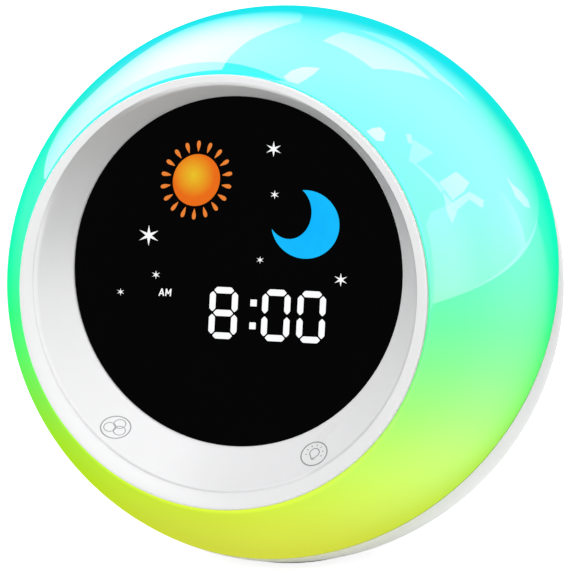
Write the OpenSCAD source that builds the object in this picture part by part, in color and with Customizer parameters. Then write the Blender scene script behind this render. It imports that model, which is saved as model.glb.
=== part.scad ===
// Ball-shaped children's bedside clock with a light-up crescent and a dished display.
// Sizes are millimetres. The foot rests on z = 0, the display faces -Y and +Z is up.

/* [Body] */
// Outside diameter of the ball
body_d = 150; // [148:1:153]
// Wall of the diffuser and of the rear shell
shell_t = 2.4; // [2.2:0.1:2.6]
// Lean of the display away from upright, degrees
face_tilt = 12; // [10:1:14]
// Lean of the seam plane away from upright, degrees
seam_tilt = 31.2; // [29:0.2:33]
// Distance of the seam plane behind the ball's centre
seam_back = 7.7; // [6.5:0.1:9]
// Radius of the flat that is cut under the ball
foot_flat_r = 18.5; // [17.8:0.1:19.5]

/* [Front] */
// Distance of the bezel's mouth plane from the ball's centre
mouth_z = 47.9; // [47.7:0.1:48.1]
// Depth of the dish from its mouth to the display
dish_depth = 10.6; // [10:0.1:11]
// Visible radius of the display
window_r = 46.6; // [46:0.1:47]
// How far the display sits above the bezel's own centre
window_up = 5.1; // [4.5:0.1:5.4]
// Height of the display's digits
digit_h = 13.8; // [13:0.1:15]
// Width of the display's digits
digit_w = 8; // [7.6:0.1:8.6]
// Width of a digit's stroke
stroke = 1.7; // [1.6:0.1:2]

/* [Rear panel] */
// Radius of the round panel
panel_r = 35.8; // [35.6:0.1:36]
// Distance of the panel's outer face from the ball's centre
panel_z = 65.2; // [65:0.1:65.4]
// Diameter of the five push buttons
button_d = 8; // [7.5:0.1:8.2]
// Radius of the arc that the buttons stand on
button_arc_r = 27; // [26.8:0.1:27.2]
// Travel of a button
button_travel = 0.8; // [0.5:0.1:0.8]
// Pitch of the holes over the speaker
grille_pitch = 3.2; // [3.1:0.1:3.6]

/* [Battery bay] */
// Angle of the bay's middle below the horizontal, degrees
bay_drop = 51; // [50.5:0.5:51.5]
// Diameter of one cell
cell_d = 10.5; // [10:0.1:10.5]
// Length of one cell, tip included
cell_len = 44.5; // [44:0.1:44.5]

/* [Hidden] */
$fn = 64;
ball_fn = 144;
big = 200;
body_r = body_d / 2;
cavity_r = body_r - shell_t;

// Foot: a rubber pad stands a little proud of the flat under the shell.
pad_proud = 0.8;
pad_t = 2;
pad_r = foot_flat_r - 1.5;
pad_edge = 0.4;
pad_grooves = [8, 12];
pad_groove = [1, 0.4];
centre_z = pad_proud + sqrt(body_r * body_r - foot_flat_r * foot_flat_r);

// Bezel and what is clamped behind it. Heights run along the face's own axis.
rim_r = sqrt(body_r * body_r - mouth_z * mouth_z);
lip_r = 1.25;
dish_mouth_r = rim_r - 2.4;
window_z = mouth_z - dish_depth;
window_edge = 0.5;
wall_grow = 1.4;
wall_drop = 1.6;
skirt_t = 2;
skirt_z = mouth_z - 3.9;
ledge_t = 1.6;
lens_r = window_r + 2;
lens_t = 2;
lens_z = window_z - window_edge - lens_t;
film_t = 0.3;
pocket_r = lens_r + 0.2;
pocket_wall = 2.2;
box_t = 8;
box_flange_t = 1.3;
box_z = lens_z - film_t - box_t;
pocket_z = lens_z - film_t - box_flange_t;
display_board_r = 44;
board_t = 1.6;
display_board_z = box_z - board_t;
frame_t = 2.4;
frame_r = 62;
frame_gap = 2.5;
frame_z = display_board_z - frame_gap - frame_t;
frame_post_r = 38;
bezel_boss_arc = 53;
bezel_boss_d = 6.4;
bezel_boss_hole = 11;
frame_post_d = 6;
frame_hole_r = 13;
frame_rib_t = 1.6;
frame_rib_h = 6;
screw_d = 3;
screw_clear = 0.4;

// Ring of lights on the back of the inner frame
ring_gap = 3;
ring_z = frame_z - ring_gap - board_t;
ring_in_r = 54.5;
ring_out_r = 62;
ring_lights = 12;
ring_post_d = 5;
light_w = 5;
light_t = 1.6;

// Long screws that pull the rear shell on
case_x = 45;
case_y = 20;
case_joint_z = -12;
case_seat_z = -30;
case_screw_end_z = -2;
case_boss_d = 8;
case_head_d = 6;
case_head_h = 2.4;
case_well_d = 7;
case_well_wall = 1.75;

// Tongue of the rear shell inside the diffuser, and the shadow line outside it
tongue_r = 72;
tongue_t = 1;
tongue_reach = 3;
tongue_root = 6.5;
seam_groove = 0.35;

// Rear panel, its ledge, and the boards behind it. Heights run along +Y.
panel_t = 2;
panel_in_z = panel_z - panel_t;
panel_hole_r = panel_r + 0.2;
panel_ledge_w = 2.5;
panel_ledge_t = 2.2;
panel_rim = 2.5;
panel_edge = 0.5;
panel_post_d = 7;
panel_post_h = 5.6;
panel_screw_d = 2.5;
panel_head_d = 4.8;
panel_screw_r = 31.5;
panel_screw_angles = [0, 180, 220, 320];
button_angles = [150, 120, 90, 60, 30];
button_gap = 0.3;
button_edge = 0.9;
button_proud = 2 * button_travel;
flange_d = button_d + 2.4;
flange_t = 1.1;
flange_z = panel_in_z - 0.2 - flange_t;
switch_w = 6;
switch_t = 3.5;
plunger_d = 3.5;
plunger_free = button_travel + 0.7;
plunger_in = 1.2;
rear_board_z = flange_z - plunger_free - switch_t - board_t;
rear_board_top = rear_board_z + board_t;
board_post_d = 3.6;
board_screw_d = 2;
main_board_low = [-15, -32];
main_board_size = [30, 12.2];
board_posts = [[26.4, 5.6], [-26.4, 5.6], [5.7, 21.3], [-5.7, 21.3], [11.5, -26], [-11.5, -26]];
usb_y = -25;
usb_w = 8.94;
usb_h = 3.26;

// Speaker, whose cone faces out through the grille
grille_r = 13;
grille_hole_d = 1.7;
speaker_r = 18;
gasket_t = 0.8;
speaker_z = panel_in_z - gasket_t;
collar_gap = 0.2;
collar_t = 1.4;
collar_h = 2.4;
basket_windows = 6;
basket_window_w = 7;

// Battery bay and its door. Heights run along the bay's own axis.
bay_in = [53, 35.2];
bay_wall = 3;
bay_floor_t = 1.8;
cell_pitch = 11.5;
cell_z = 60.5;
bay_floor_z = cell_z - 5.8;
bay_corner = 1;
door_hole = [56, 38];
door_corner = 3;
door_gap = 0.35;
latch_gap = 0.5;
door_t = 2;
door_seat_r = cavity_r - 0.2;
latch_slots = [-7, 6];
latch_slot = [1, 9];
scoop_r = 8;
scoop_rise = 3.4;
hook_x = 14;
hook_w = 6;
hook_in_r = 5.6;
hook_out_r = 7.3;
hook_ends = [-84, 13];
hook_slot_side = 0.7;
hook_slot_reach = 6.8;
hook_slot_z = 63.8;
hinge_y = door_hole[1] / 2 + 0.2;
hinge_z = sqrt(body_r * body_r - hinge_y * hinge_y) + 0.05;
plate_t = 0.4;
plate_w = 9;
cell_tip_d = 3.8;
cell_tip = 1.1;

// Tapered contact springs
spring_d = [7.4, 4.6];
wire_d = 0.6;
spring_turns = 5;
flat_turn = 0.25;

// Flat cable from the display board to the main board, as [back, up] places from the ball's centre
plug_t = 3;
cable_w = 12;
cable_t = 0.9;
cable_drop = -21.2;
plug_side = 2;
plug_h = [4, 2.2];
display_plug_r = display_board_z - plug_t;
cable_route = [
  display_plug_r * [-cos(face_tilt), sin(face_tilt)],
  (display_plug_r - 9) * [-cos(face_tilt), sin(face_tilt)],
  [5, -2], [20, -9], [34, -17], [44, cable_drop], [rear_board_z - plug_t, cable_drop]
];

// ---- Working frames: origin at the ball's centre, +Z outwards ----

module in_ball() translate([0, 0, centre_z]) children();
module in_face() in_ball() rotate([90 - face_tilt, 0, 0]) children();
module in_seam() in_ball() rotate([90 - seam_tilt, 0, 0]) children();
module in_back() in_ball() rotate([-90, 0, 0]) rotate([0, 0, 180]) children();
module in_bay() in_ball() rotate([-90 - bay_drop, 0, 0]) children();

// ---- Shared shapes ----

module ball(r) sphere(r = r, $fn = ball_fn);

module ahead_of_seam() in_seam() translate([-big / 2, -big / 2, -seam_back]) cube(big);

// Tube between two heights
module ring(r_out, r_in, z0, z1) translate([0, 0, z0]) difference() {
  cylinder(r = r_out, h = z1 - z0, $fn = 128);
  translate([0, 0, -1]) cylinder(r = r_in, h = z1 - z0 + 2, $fn = 128);
}

// Half profile of a disc whose top edge is rounded, to be revolved
module rounded_half(r, h, edge) {
  square([r - edge, h]);
  square([r, h - edge]);
  translate([r - edge, h - edge]) circle(edge, $fn = 32);
}

module rounded_disc(r, h, edge) rotate_extrude($fn = 96) intersection() {
  rounded_half(r, h, edge);
  square([r, h]);
}

// Upright block with rounded corners, centred in X and Y
module rounded_block(size, z0, z1, corner) translate([0, 0, z0]) linear_extrude(z1 - z0) {
  square([size[0] - 2 * corner, size[1]], center = true);
  square([size[0], size[1] - 2 * corner], center = true);
  for (x = [-1, 1], y = [-1, 1])
    translate([x * (size[0] / 2 - corner), y * (size[1] / 2 - corner)]) circle(corner, $fn = 32);
}

// Headed screw: the head stands on z = 0 and the shank runs up +Z
module screw(d, length, head_d, head_h) {
  cylinder(d = d, h = length, $fn = 32);
  translate([0, 0, -head_h]) cylinder(d = head_d, h = head_h, $fn = 32);
}

// ---- The dish: a cone whose small end is moved up from the mouth's axis ----

function dish_r(z) = window_r + (dish_mouth_r - window_r) * (z - window_z) / dish_depth;
function dish_y(z) = window_up * (mouth_z - z) / dish_depth;

module dish_cone(z0, z1, grow = 0, drop = 0)
  translate([0, dish_y(z0 + drop), z0])
    multmatrix([[1, 0, 0, 0], [0, 1, -window_up / dish_depth, 0], [0, 0, 1, 0], [0, 0, 0, 1]])
      cylinder(r1 = dish_r(z0 + drop) + grow, r2 = dish_r(z1 + drop) + grow, h = z1 - z0, $fn = 144);

module at_window(z = 0) translate([0, window_up, z]) children();

module at_bezel_bosses() for (a = [45:90:315]) at_window() rotate([0, 0, a])
  translate([bezel_boss_arc, 0, 0]) children();

module front_bezel() color([0.95, 0.95, 0.96]) in_face() difference() {
  union() {
    // rolled lip on a skirt that drops into the diffuser's mouth
    rotate_extrude($fn = 144) {
      translate([rim_r - lip_r, mouth_z - 0.3]) circle(lip_r, $fn = 48);
      translate([rim_r - skirt_t, skirt_z]) square([skirt_t, mouth_z - 0.3 - skirt_z]);
    }
    translate([0, 0, mouth_z - 1.5]) cylinder(r = rim_r - 1.2, h = 1.1, $fn = 128);
    // back of the dish
    dish_cone(window_z - wall_drop, mouth_z - 1.4, wall_grow, wall_drop);
    // pocket wall round the lens
    at_window(pocket_z) cylinder(r = pocket_r + pocket_wall, h = window_z - pocket_z, $fn = 128);
    at_bezel_bosses() translate([0, 0, frame_z + frame_t])
      cylinder(d = bezel_boss_d, h = window_z - 1 - frame_z - frame_t);
  }
  dish_cone(window_z, mouth_z + 2);
  at_window(window_z - 2) cylinder(r = window_r, h = 3, $fn = 128);
  at_window(pocket_z - 1) cylinder(r = pocket_r, h = lens_z + lens_t - pocket_z + 1, $fn = 128);
  at_bezel_bosses() translate([0, 0, frame_z])
    cylinder(d = screw_d, h = bezel_boss_hole, $fn = 32);
}

module display_lens() color([0.05, 0.05, 0.06]) in_face() at_window(lens_z)
  cylinder(r = lens_r, h = lens_t, $fn = 128);

module icon_film() color([0.1, 0.1, 0.1]) in_face() at_window(lens_z - film_t)
  cylinder(r = lens_r - 0.2, h = film_t, $fn = 128);

// ---- Display graphics: places are measured from the window's centre ----

digit_x = [-13.9, -3.9, 11, 21];
digit_y = -11.2;
colon_x = 4.6;
colon_y = [-3.05, 3.05];
day_mark = [-20.7, -6.5];
sun = [-12.4, 23.8];
sun_cell_r = 10.8;
moon = [19, 13.4];
moon_cell_r = 9.8;
stars = [[9.3, 32.9], [-25.6, 8.5], [29.1, -1], [9.9, 20.8], [-23.3, -1.9], [6.2, 3.3], [-33.3, -6.9]];
star_cell_r = [2.8, 3.2, 2.4, 1.4, 1.4, 1.4, 1.4];

// One digit's seven strokes: place of the middle, turn and length
bar_gap = 0.3;
bar_x = (digit_w - stroke) / 2;
bar_y = (digit_h - stroke) / 4;
bars = [
  [0, 2 * bar_y, 0, 2 * bar_x], [0, 0, 0, 2 * bar_x], [0, -2 * bar_y, 0, 2 * bar_x],
  [-bar_x, bar_y, 90, 2 * bar_y], [bar_x, bar_y, 90, 2 * bar_y],
  [-bar_x, -bar_y, 90, 2 * bar_y], [bar_x, -bar_y, 90, 2 * bar_y]
];

module at_bars() for (x = digit_x, b = bars)
  translate([x + b[0], digit_y + b[1]]) rotate([0, 0, b[2]]) {
    $bar = b[3];
    children();
  }

module bar_outline() {
  tip = $bar / 2 - bar_gap;
  flat = tip - stroke / 2;
  half = stroke / 2;
  polygon([[-tip, 0], [-flat, half], [flat, half], [tip, 0], [flat, -half], [-flat, -half]]);
}

module light_cells() {
  at_bars() bar_outline();
  for (y = colon_y) translate([colon_x, digit_y + y]) circle(d = 1.9, $fn = 24);
  translate(day_mark) square([4.6, 2.6], center = true);
  translate(sun) circle(sun_cell_r);
  translate(moon) circle(moon_cell_r);
  for (i = [0:len(stars) - 1]) translate(stars[i]) circle(star_cell_r[i], $fn = 32);
}

module light_box() color([0.93, 0.93, 0.9]) in_face() at_window(box_z) difference() {
  union() {
    cylinder(r = display_board_r + 1, h = box_t, $fn = 128);
    translate([0, 0, box_t - box_flange_t]) cylinder(r = lens_r - 0.2, h = box_flange_t, $fn = 128);
  }
  translate([0, 0, -1]) linear_extrude(box_t + 2) light_cells();
}

module display_board() color([0.08, 0.32, 0.2]) in_face() at_window(display_board_z)
  cylinder(r = display_board_r, h = board_t, $fn = 128);

module led_chip() translate([-0.8, -0.4, 0]) cube([1.6, 0.8, 0.8]);

module display_leds() color([0.98, 0.96, 0.75]) in_face() at_window(box_z) {
  at_bars() led_chip();
  for (y = colon_y) translate([colon_x, digit_y + y]) led_chip();
  translate(day_mark) led_chip();
  for (p = stars) translate(p) led_chip();
  for (p = [sun, moon], a = [0:120:240]) translate(p) rotate([0, 0, a]) translate([5, 0]) led_chip();
}

// ---- Touch keys: copper foil on the back of the dish's lower slope ----

key_angle = 35;
key_r = 50.6;
key_pad_d = 10;
key_slope = 36;
foil_t = 0.4;

// Skin of even thickness under the dish, cut to a round pad that stays clear of the lens pocket
module touch_pad(side) color([0.8, 0.48, 0.25]) in_face() intersection() {
  rotate([0, 0, -90 + side * key_angle]) translate([key_r, 0, window_z - 2]) rotate([0, -key_slope, 0])
    translate([0, 0, -8]) cylinder(d = key_pad_d, h = 18, $fn = 48);
  difference() {
    dish_cone(window_z - wall_drop - 2, skirt_z + 2, wall_grow, wall_drop + foil_t);
    dish_cone(window_z - wall_drop - 3, skirt_z + 3, wall_grow, wall_drop);
    at_window(pocket_z) cylinder(r = pocket_r + pocket_wall + 0.1, h = dish_depth, $fn = 128);
  }
}

module touch_pad_left() touch_pad(-1);
module touch_pad_right() touch_pad(1);

// ---- Light-up crescent and the frame inside it ----

module diffuser_shell() color([0.62, 0.98, 0.86]) difference() {
  intersection() {
    in_ball() ball(body_r);
    ahead_of_seam();
  }
  difference() {
    in_ball() ball(cavity_r);
    in_face() ring(rim_r + 5, rim_r - 1.3, skirt_z - ledge_t, skirt_z);
  }
  in_face() translate([0, 0, skirt_z]) cylinder(r = rim_r + 0.2, h = body_r, $fn = 144);
}

module at_case_screws() for (x = [-1, 1], y = [-1, 1]) translate([x * case_x, y * case_y, 0]) children();

module inner_frame() color([0.9, 0.9, 0.9]) in_face() difference() {
  union() {
    translate([0, 0, frame_z]) cylinder(r = frame_r, h = frame_t, $fn = 128);
    // posts under the display board
    for (a = [0:90:270]) at_window(frame_z) rotate([0, 0, a]) translate([frame_post_r, 0, 0])
      cylinder(d = frame_post_d, h = frame_t + frame_gap, $fn = 32);
    // stand-offs behind, for the ring of lights
    for (a = [0:60:300]) rotate([0, 0, a]) translate([(ring_in_r + ring_out_r) / 2, 0, frame_z - ring_gap])
      cylinder(d = ring_post_d, h = ring_gap + 0.5, $fn = 32);
    at_case_screws() translate([0, 0, case_joint_z])
      cylinder(d = case_boss_d, h = frame_z - case_joint_z + 0.5, $fn = 32);
    // ribs that tie the bosses together
    for (y = [-case_y, case_y]) translate([-case_x, y - frame_rib_t / 2, frame_z - frame_rib_h])
      cube([2 * case_x, frame_rib_t, frame_rib_h + 0.5]);
    for (x = [-case_x, case_x]) translate([x - frame_rib_t / 2, -case_y, frame_z - frame_rib_h])
      cube([frame_rib_t, 2 * case_y, frame_rib_h + 0.5]);
  }
  translate([0, 0, frame_z - 10]) cylinder(r = frame_hole_r, h = 20);
  at_bezel_bosses() translate([0, 0, frame_z - 1])
    cylinder(d = screw_d + screw_clear, h = frame_t + 2, $fn = 32);
  at_case_screws() translate([0, 0, case_joint_z - 1])
    cylinder(d = screw_d, h = case_screw_end_z + 2 - case_joint_z, $fn = 32);
}

module frame_screws() color([0.75, 0.75, 0.77]) in_face() at_bezel_bosses()
  translate([0, 0, frame_z]) screw(screw_d, 9, 5.4, 2);

module night_light_board() color([0.93, 0.94, 0.9]) in_face()
  ring(ring_out_r, ring_in_r, ring_z, ring_z + board_t);

module night_light_leds() color([0.98, 0.98, 0.9]) in_face() for (i = [0:ring_lights - 1])
  rotate([0, 0, (i + 0.5) * 360 / ring_lights])
    translate([(ring_in_r + ring_out_r - light_w) / 2, -light_w / 2, ring_z - light_t])
      cube([light_w, light_w, light_t]);

// ---- Rear shell ----

module at_panel_screws() for (a = panel_screw_angles) rotate([0, 0, a])
  translate([panel_screw_r, 0, 0]) children();

// Finger scoop over the door's latch, cut from the shell and the door alike
module latch_scoop() in_bay() translate([0, -door_hole[1] / 2 - 2, body_r + scoop_rise]) sphere(scoop_r);

module bay_pocket() in_bay() {
  // cells' space, then the door's opening above its seat
  rounded_block(bay_in, bay_floor_z, body_r + 2, bay_corner);
  difference() {
    rounded_block(door_hole, bay_floor_z + 4, body_r + 2, door_corner);
    ball(door_seat_r);
  }
  // slots that let the door's hooks reach under the shell
  intersection() {
    ball(door_seat_r);
    for (x = [-hook_x, hook_x])
      translate([x - hook_w / 2 - hook_slot_side, bay_in[1] / 2 - 1, hook_slot_z])
        cube([hook_w + 2 * hook_slot_side, hook_slot_reach, 8]);
  }
}

module rear_inside() {
  in_seam() ring(tongue_r, tongue_r - tongue_t, -seam_back - tongue_root, -seam_back + tongue_reach);
  cylinder(r = foot_flat_r + 5, h = pad_t + 2.8, $fn = 96);
  in_bay() translate([-bay_in[0] / 2 - bay_wall, -bay_in[1] / 2 - bay_wall, bay_floor_z - bay_floor_t])
    cube([bay_in[0] + 2 * bay_wall, bay_in[1] + 2 * bay_wall, body_r]);
  in_face() at_case_screws() translate([0, 0, -body_r])
    cylinder(d = case_well_d + 2 * case_well_wall, h = body_r + case_joint_z);
  in_back() {
    ring(panel_hole_r + panel_rim, panel_hole_r - panel_ledge_w, panel_in_z - panel_ledge_t, panel_in_z);
    at_panel_screws() translate([0, 0, panel_in_z - panel_post_h])
      cylinder(d = panel_post_d, h = panel_post_h, $fn = 48);
  }
}

module rear_shell() color([0.93, 0.93, 0.94]) difference() {
  union() {
    difference() {
      in_ball() ball(body_r);
      in_ball() ball(cavity_r);
      ahead_of_seam();
    }
    intersection() {
      in_ball() ball(body_r - 0.6);
      rear_inside();
    }
  }
  // flat under the foot, and the pad's recess
  translate([-big / 2, -big / 2, -big + pad_proud]) cube(big);
  cylinder(r = pad_r + 0.2, h = pad_t, $fn = 96);
  bay_pocket();
  latch_scoop();
  in_face() at_case_screws() {
    translate([0, 0, -body_r - 1]) cylinder(d = screw_d + screw_clear, h = body_r, $fn = 32);
    translate([0, 0, -body_r - 1]) cylinder(d = case_well_d, h = body_r + 1 + case_seat_z, $fn = 48);
  }
  in_back() {
    translate([0, 0, panel_in_z]) cylinder(r = panel_hole_r, h = 20, $fn = 128);
    at_panel_screws() translate([0, 0, panel_in_z - panel_post_h + 1])
      cylinder(d = panel_screw_d, h = panel_post_h, $fn = 32);
  }
  in_seam() ring(body_r + 2, tongue_r + 2.1, -seam_back - seam_groove, -seam_back + 1);
}

module case_screws() color([0.75, 0.75, 0.77]) in_face() at_case_screws()
  translate([0, 0, case_seat_z]) screw(screw_d, case_screw_end_z - case_seat_z, case_head_d, case_head_h);

// ---- Rear panel ----

// Holes over the speaker: a triangular grid, kept where it falls in a circle
grille_rows = 4;
grille_places = [
  for (row = [-grille_rows:grille_rows], col = [-grille_rows:grille_rows])
    let (x = (col + row / 2) * grille_pitch, y = row * grille_pitch * sqrt(3) / 2)
      if (norm([x, y]) < grille_r) [x, y]
];

module usb_outline(grow) {
  w = usb_w + 2 * grow;
  h = usb_h + 2 * grow;
  square([w - h, h], center = true);
  for (x = [-1, 1]) translate([x * (w - h) / 2, 0]) circle(d = h, $fn = 32);
}

module at_board_posts() for (p = board_posts) translate(p) children();

module rear_panel() color([0.93, 0.93, 0.94]) in_back() difference() {
  union() {
    translate([0, 0, panel_in_z]) rounded_disc(panel_r, panel_t, panel_edge);
    // collar round the speaker, then posts for the boards
    ring(speaker_r + collar_gap + collar_t, speaker_r + collar_gap, speaker_z - collar_h, panel_in_z + 0.1);
    at_board_posts() translate([0, 0, rear_board_top])
      cylinder(d = board_post_d, h = panel_in_z + 0.1 - rear_board_top, $fn = 32);
  }
  for (a = button_angles) rotate([0, 0, a]) translate([button_arc_r, 0, panel_in_z - 1])
    cylinder(d = button_d + 2 * button_gap, h = 4);
  for (p = grille_places) translate([p[0], p[1], panel_in_z - 1])
    cylinder(d = grille_hole_d, h = 4, $fn = 24);
  translate([0, usb_y, panel_in_z - 1]) linear_extrude(4) usb_outline(0.15);
  at_panel_screws() translate([0, 0, panel_in_z - 1])
    cylinder(d = panel_screw_d + screw_clear, h = 4, $fn = 32);
  at_panel_screws() translate([0, 0, panel_z - 1.1])
    cylinder(d1 = panel_screw_d + screw_clear, d2 = panel_head_d + screw_clear, h = 1.15, $fn = 32);
  at_board_posts() translate([0, 0, rear_board_top - 0.1]) cylinder(d = board_screw_d, h = 5, $fn = 32);
}

module panel_screws() color([0.75, 0.75, 0.77]) in_back() at_panel_screws() {
  translate([0, 0, panel_in_z - 4.5]) cylinder(d = panel_screw_d, h = 5.6, $fn = 32);
  translate([0, 0, panel_z - 1.05]) cylinder(d1 = panel_screw_d, d2 = panel_head_d, h = 1, $fn = 32);
}

// ---- Push buttons and the switches under them ----

module at_button(i) in_back() rotate([0, 0, button_angles[i]]) translate([button_arc_r, 0, 0]) children();

module push_button(i) color([0.72, 0.74, 0.77]) at_button(i) {
  translate([0, 0, flange_z + flange_t / 2])
    rounded_disc(button_d / 2, panel_z + button_proud - flange_z - flange_t / 2, button_edge);
  translate([0, 0, flange_z]) cylinder(d = flange_d, h = flange_t);
}

module switch_plunger(i) color([0.12, 0.12, 0.13]) at_button(i)
  translate([0, 0, flange_z - plunger_free - plunger_in])
    cylinder(d = plunger_d, h = plunger_free + plunger_in, $fn = 32);

module time_button() push_button(0);
module alarm_button() push_button(1);
module nap_button() push_button(2);
module minus_button() push_button(3);
module plus_button() push_button(4);
module time_plunger() switch_plunger(0);
module alarm_plunger() switch_plunger(1);
module nap_plunger() switch_plunger(2);
module minus_plunger() switch_plunger(3);
module plus_plunger() switch_plunger(4);

module switch_housings() color([0.25, 0.25, 0.27]) for (i = [0:len(button_angles) - 1]) at_button(i)
  difference() {
    translate([-switch_w / 2, -switch_w / 2, rear_board_top]) cube([switch_w, switch_w, switch_t]);
    translate([0, 0, rear_board_top + 1.2]) cylinder(d = plunger_d + 0.4, h = switch_t, $fn = 32);
  }

module board_screw_holes() at_board_posts() translate([0, 0, rear_board_z - 1])
  cylinder(d = board_screw_d + 0.3, h = board_t + 2, $fn = 32);

module button_board() color([0.08, 0.32, 0.2]) in_back() difference() {
  ring(33, speaker_r + 2.2, rear_board_z, rear_board_top);
  translate([-big / 2, -big + 1.5, 0]) cube(big);
  board_screw_holes();
}

module main_board() color([0.08, 0.32, 0.2]) in_back() difference() {
  translate([main_board_low[0], main_board_low[1], rear_board_z])
    cube([main_board_size[0], main_board_size[1], board_t]);
  board_screw_holes();
}

module board_chips() color([0.13, 0.13, 0.14]) in_back() {
  translate([-6.5, -29.6, rear_board_z - 1]) cube([7, 7, 1]);
  translate([2.5, -28.8, rear_board_z - 1.5]) cube([3, 5, 1.5]);
  for (x = [-4, 0, 4]) rotate([0, 0, 90]) translate([26, x - 1, rear_board_z - 0.9]) cube([3, 1.6, 0.9]);
}

module board_screws() color([0.75, 0.75, 0.77]) in_back() at_board_posts()
  translate([0, 0, rear_board_z]) screw(board_screw_d, 6, 4, 1.4);

module usb_socket() color([0.78, 0.78, 0.8]) in_back() translate([0, usb_y, rear_board_top]) difference() {
  linear_extrude(panel_z - 0.4 - rear_board_top) usb_outline(0);
  translate([0, 0, 2]) linear_extrude(20) difference() {
    usb_outline(-0.3);
    square([6.7, 0.7], center = true);
  }
}

// ---- Speaker ----

module speaker_gasket() color([0.15, 0.15, 0.15]) in_back()
  ring(speaker_r, speaker_r - 3.2, speaker_z, panel_in_z);

module speaker_basket() color([0.3, 0.3, 0.32]) in_back() difference() {
  rotate_extrude() polygon([
    [speaker_r, speaker_z], [speaker_r, speaker_z - 1.2], [speaker_r - 3, speaker_z - 2.4],
    [11, speaker_z - 9], [9.5, speaker_z - 9], [9.5, speaker_z - 8], [10.2, speaker_z - 8],
    [speaker_r - 4.2, speaker_z - 1.9], [speaker_r - 3.2, speaker_z - 0.6], [speaker_r - 3.2, speaker_z]
  ]);
  // windows in the sloping wall
  for (i = [0:basket_windows - 1]) rotate([0, 0, i * 360 / basket_windows])
    translate([10, -basket_window_w / 2, speaker_z - 7.2]) cube([10, basket_window_w, 4]);
}

module speaker_cone() color([0.2, 0.2, 0.21]) in_back() rotate_extrude() polygon([
  [0, speaker_z - 4.3], [3.4, speaker_z - 4.9], [5.5, speaker_z - 6.4], [12.2, speaker_z - 1.7],
  [13.4, speaker_z - 1.1], [14.8, speaker_z - 0.6], [14.8, speaker_z - 0.2], [13.4, speaker_z - 0.6],
  [12, speaker_z - 1.2], [5.5, speaker_z - 5.8], [3.4, speaker_z - 4.4], [0, speaker_z - 3.8]
]);

module speaker_magnet() color([0.55, 0.55, 0.57]) in_back() {
  translate([0, 0, speaker_z - 16]) cylinder(r = 9, h = 1.2);
  translate([0, 0, speaker_z - 14.8]) cylinder(r = 8.2, h = 4.8);
  translate([0, 0, speaker_z - 10]) cylinder(r = 9.5, h = 2);
}

// ---- Battery bay ----

// Hook that curls round the edge of the shell: its faces are arcs about the hinge's line, so it
// slides round the edge as the door turns. Angles run from straight inwards.
module hook() rotate([0, 90, 0]) intersection() {
  difference() {
    cylinder(r = hook_out_r, h = hook_w);
    translate([0, 0, -1]) cylinder(r = hook_in_r, h = hook_w + 2);
  }
  linear_extrude(hook_w) polygon([
    [0, 0],
    for (i = [0:2]) let (a = hook_ends[0] + (hook_ends[1] - hook_ends[0]) * i / 2)
      (hook_out_r + 3) * [cos(a), sin(a)]
  ]);
}

module battery_door() color([0.92, 0.92, 0.93]) difference() {
  in_bay() union() {
    difference() {
      intersection() {
        ball(body_r);
        translate([0, (latch_gap - door_gap) / 2, 0])
          rounded_block([door_hole[0] - 2 * door_gap, door_hole[1] - door_gap - latch_gap],
                        bay_floor_z + 4, body_r + 2, door_corner - 0.3);
      }
      ball(body_r - door_t);
      // flexing latch tongue between two slots
      for (x = latch_slots) translate([x, -20, 60]) cube([latch_slot[0], latch_slot[1], 20]);
    }
    intersection() {
      ball(body_r - 0.6);
      for (x = [-hook_x, hook_x]) translate([x - hook_w / 2, hinge_y, hinge_z]) hook();
    }
  }
  latch_scoop();
}

// One cell along X with its tip at +X
module cell() {
  translate([-cell_len / 2, 0, 0]) rotate([0, 90, 0]) cylinder(d = cell_d, h = cell_len - 1);
  translate([cell_len / 2 - cell_tip, 0, 0]) rotate([0, 90, 0])
    cylinder(d = cell_tip_d, h = cell_tip, $fn = 32);
}

// Cells alternate, so the middle one is turned round
module at_cells() for (i = [-1, 0, 1]) translate([0, i * cell_pitch, cell_z])
  rotate([0, 0, i == 0 ? 180 : 0]) children();

tip_x = bay_in[0] / 2 - plate_t;
cell_shift = tip_x - cell_len / 2;

module battery_cells() color([0.2, 0.45, 0.3]) in_bay() at_cells() translate([cell_shift, 0, 0]) cell();

module battery_contacts() color([0.82, 0.82, 0.8]) in_bay() for (x = [-1, 1]) at_cells()
  translate([x * (bay_in[0] / 2 - plate_t / 2), 0, 0]) cube([plate_t, plate_w, plate_w], center = true);

// Conical spring of round wire, standing on z = 0: rings of the wire's section along a rising spiral
module coil(d, h, turns, rings, sides) {
  r = (d - [wire_d, wire_d]) / 2;
  rise = h - wire_d;
  last = turns * rings;
  points = [
    for (i = [0:last], k = [0:sides - 1]) let (
      turn = i / rings,
      up = min(max(turn - flat_turn, 0), turns - 2 * flat_turn) / (turns - 2 * flat_turn),
      out = r[0] + (r[1] - r[0]) * turn / turns + wire_d / 2 * cos(360 * (k + 0.5) / sides)
    ) [out * cos(360 * turn), out * sin(360 * turn),
       wire_d / 2 + rise * up + wire_d / 2 * sin(360 * (k + 0.5) / sides)]
  ];
  faces = [
    [for (k = [0:sides - 1]) k],
    for (i = [0:last - 1], k = [0:sides - 1]) let (n = (k + 1) % sides)
      [i * sides + k, (i + 1) * sides + k, (i + 1) * sides + n, i * sides + n],
    [for (k = [sides - 1:-1:0]) last * sides + k]
  ];
  polyhedron(points, faces);
}

module battery_springs() color([0.82, 0.82, 0.8]) in_bay() at_cells()
  translate([-tip_x, 0, 0]) rotate([0, 90, 0])
    coil(spring_d, tip_x + cell_shift - cell_len / 2, spring_turns, 8, 6);

// ---- Flat cable inside ----

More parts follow.
